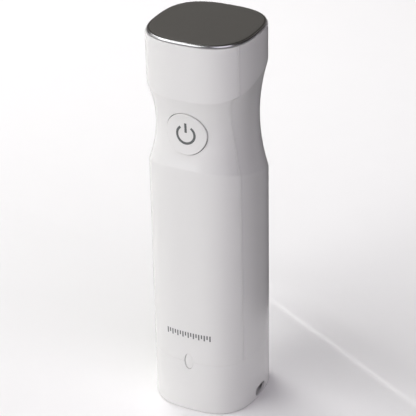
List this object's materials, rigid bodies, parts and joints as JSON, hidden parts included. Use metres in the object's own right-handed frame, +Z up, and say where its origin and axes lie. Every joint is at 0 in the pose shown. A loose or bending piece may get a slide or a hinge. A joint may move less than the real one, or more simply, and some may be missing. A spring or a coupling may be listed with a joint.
{
  "type": "cordless vacuum pump",
  "caption": "Slim hand-held rechargeable vacuum pump with a scooped waist, push button, metal top and pull-off suction foot.",
  "frame": {"origin": "centre of the base that the pump stands on", "axes": "+Z up along the body, -Y the button side, +X the charging port side"},
  "size_m": [0.048, 0.0494, 0.1835],
  "materials": {
    "white_shell": "gloss white moulding",
    "cap_metal": "dark satin top with a bright rolled rim",
    "natural_plastic": "natural moulding",
    "black_plastic": "matt black moulding",
    "plated_steel": "nickel plated",
    "brass": "turned",
    "copper": "enamelled copper",
    "silicone": "grey silicone",
    "black_rubber": "matt",
    "circuit_board": "green solder mask",
    "cell_sleeve": "blue shrink sleeve",
    "ferrite": "ground",
    "red_wire": "insulated",
    "black_wire": "insulated",
    "flat_cable": "flat cable"
  },
  "bodies": {
    "body": {"front_cover": "white_shell", "rear_housing": "white_shell", "top_cap": "cap_metal", "chassis": "natural_plastic", "valve_plate": "natural_plastic", "base_plate": "black_plastic", "top_carrier": "black_plastic", "pump_head_cover": "black_plastic", "pump_body": "black_plastic", "motor_end_cap": "black_plastic", "controller_chip": "black_plastic", "motor_driver_transistor": "black_plastic", "pressure_sensor": "black_plastic", "tact_switch_body": "black_plastic", "usb_socket_tongue": "black_plastic", "front_screw_left": "plated_steel", "front_screw_right": "plated_steel", "rear_screw_left": "plated_steel", "rear_screw_right": "plated_steel", "pump_screw_1": "plated_steel", "pump_screw_2": "plated_steel", "pump_screw_3": "plated_steel", "motor_screw_left": "plated_steel", "motor_screw_right": "plated_steel", "motor_can": "plated_steel", "usb_socket_shell": "plated_steel", "latch_spring": "plated_steel", "battery_contact_positive": "plated_steel", "battery_contact_negative": "plated_steel", "front_bush": "brass", "rear_bush": "brass", "motor_brush_left": "brass", "motor_brush_right": "brass", "sensor_hose": "silicone", "foot_seal_ring": "black_rubber", "valve_disc": "black_rubber", "diaphragm": "black_rubber", "main_circuit_board": "circuit_board", "charging_board": "circuit_board", "battery_cell": "cell_sleeve", "motor_magnet_left": "ferrite", "motor_magnet_right": "ferrite", "battery_lead_positive": "red_wire", "motor_lead_positive": "red_wire", "battery_lead_negative": "black_wire", "motor_lead_negative": "black_wire", "charging_ribbon": "flat_cable"},
    "foot": {"suction_foot": "white_shell", "suction_cup": "silicone"},
    "power_button": {"power_button": "white_shell"},
    "switch_plunger": {"tact_switch_plunger": "black_plastic"},
    "foot_release": {"foot_release_button": "white_shell"},
    "rotor": {"motor_shaft": "plated_steel", "armature_core": "plated_steel", "armature_winding": "copper", "motor_commutator": "copper", "eccentric_hub": "brass", "drive_pin": "plated_steel"},
    "wobble": {"wobble_plate": "natural_plastic"}
  },
  "joints": [
    {"name": "foot_pull", "type": "slide", "parent": "body", "child": "foot", "axis": [0, 0, -1], "range_m": [0, 0.027]},
    {"name": "power_press", "type": "slide", "parent": "body", "child": "power_button", "axis": [0, 1, 0], "range_m": [0, 0.0005], "stiffness_N_per_m": 4000},
    {"name": "switch_press", "type": "slide", "parent": "body", "child": "switch_plunger", "axis": [0, 1, 0], "range_m": [0, 0.0005]},
    {"name": "release_press", "type": "slide", "parent": "body", "child": "foot_release", "axis": [0, 1, 0], "range_m": [0, 0.0012], "stiffness_N_per_m": 1500, "deforming": ["latch_spring"]},
    {"name": "motor_spin", "type": "hinge", "parent": "body", "child": "rotor", "pos_m": [0, 0, 0.0541], "axis": [0, 0, 1], "continuous": true},
    {"name": "wobble_rock", "type": "hinge", "parent": "rotor", "child": "wobble", "pos_m": [0, 0, 0.0454], "axis": [0.1045, 0, 0.9945], "continuous": true}
  ],
  "couplings": [
    {"joint": "switch_press", "follows": "power_press", "ratio": 1},
    {"joint": "wobble_rock", "follows": "motor_spin", "ratio": -1}
  ]
}
